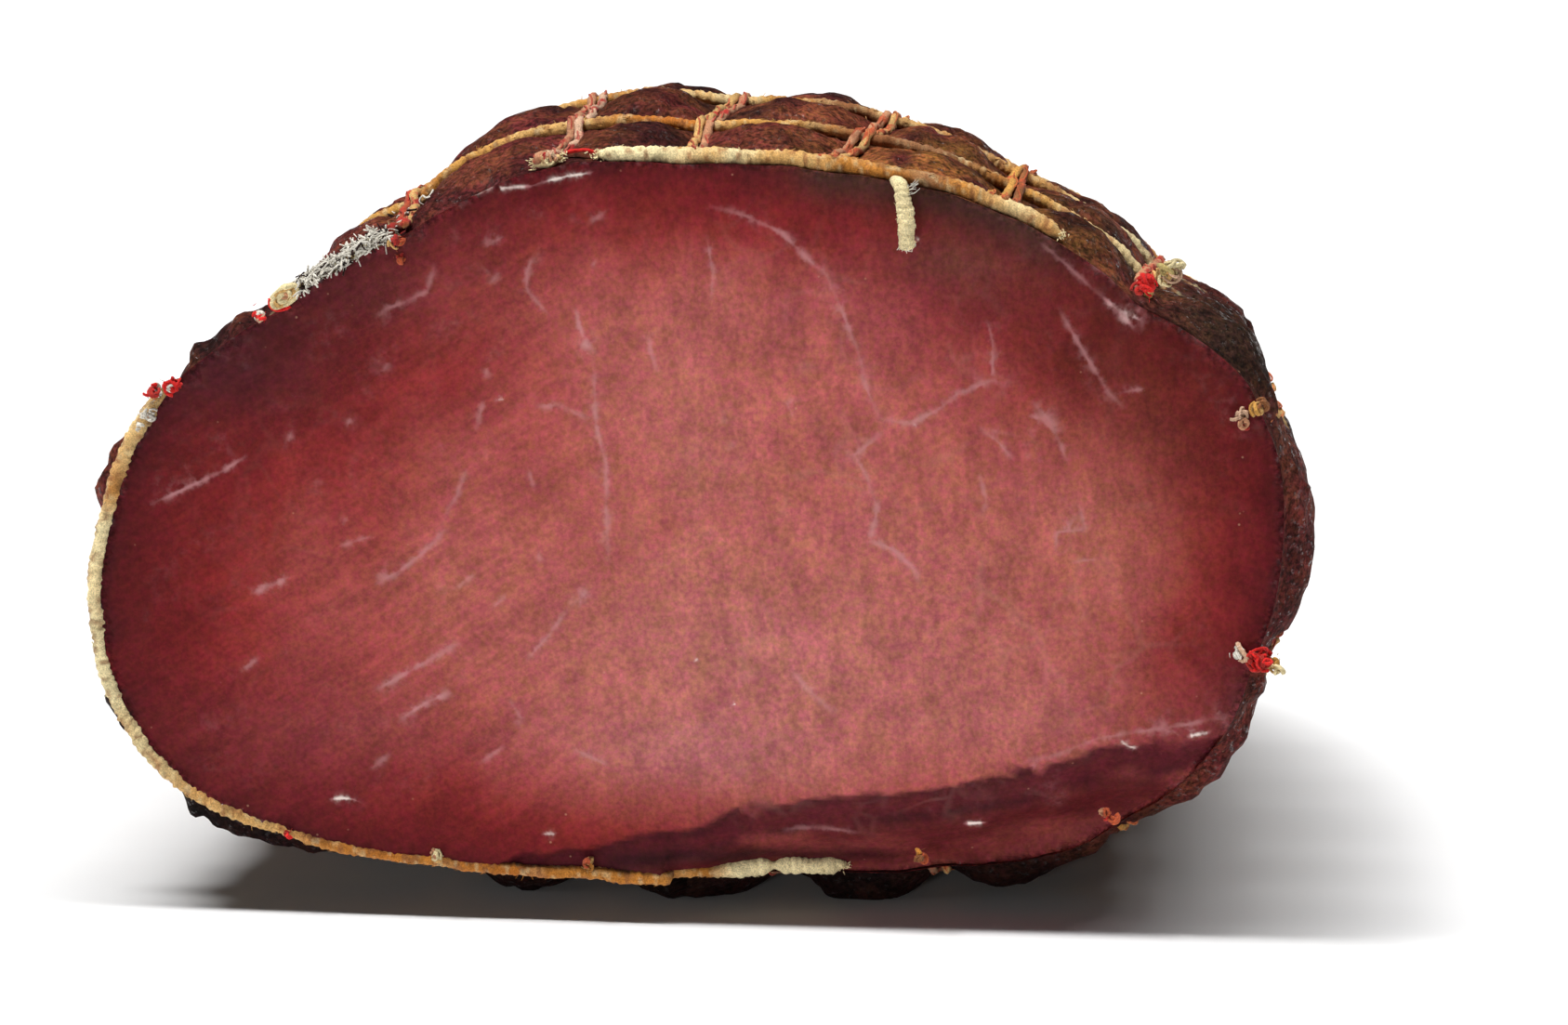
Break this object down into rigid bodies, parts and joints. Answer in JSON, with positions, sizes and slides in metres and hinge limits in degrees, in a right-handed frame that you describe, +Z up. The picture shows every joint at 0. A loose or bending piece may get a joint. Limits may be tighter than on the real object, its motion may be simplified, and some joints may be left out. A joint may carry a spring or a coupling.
{
  "type": "bresaola",
  "caption": "Half of an air-dried beef round in a knitted elastic net, resting on its side with the rosy cut face forward.",
  "frame": {"origin": "middle of the underside of the bounding box, on the surface that the meat rests on", "axes": "+X to the right of the cut face as seen from in front, -Y out of the cut face, +Y towards the tied end, +Z up"},
  "size_m": [0.165, 0.1428, 0.1088],
  "materials": {
    "cured_meat": "moist satin cut face, dark wrinkled rind",
    "elastic": "matt covered elastic cord",
    "stitching": "matt chain stitches of tan and red thread",
    "string": "matt cotton string"
  },
  "bodies": {
    "root": {"meat": "cured_meat", "hoop_1_stub": "elastic", "hoop_1_top": "elastic", "hoop_1_side": "elastic", "hoop_2": "elastic", "hoop_3": "elastic", "hoop_4": "elastic", "hoop_5": "elastic", "hoop_6": "elastic", "hoop_7": "elastic", "hoop_8": "elastic", "rib_1": "stitching", "rib_2": "stitching", "rib_3": "stitching", "rib_4": "stitching", "rib_5": "stitching", "rib_6": "stitching", "rib_7": "stitching", "rib_8": "stitching", "rib_9": "stitching", "rib_10": "stitching", "rib_11": "stitching", "rib_12": "stitching", "rib_13": "stitching", "rib_14": "stitching", "rib_15": "stitching", "rib_16": "stitching", "rib_17": "stitching", "rib_18": "stitching", "net_gather": "stitching", "tie_string": "string", "loose_end": "elastic"}
  },
  "joints": []
}
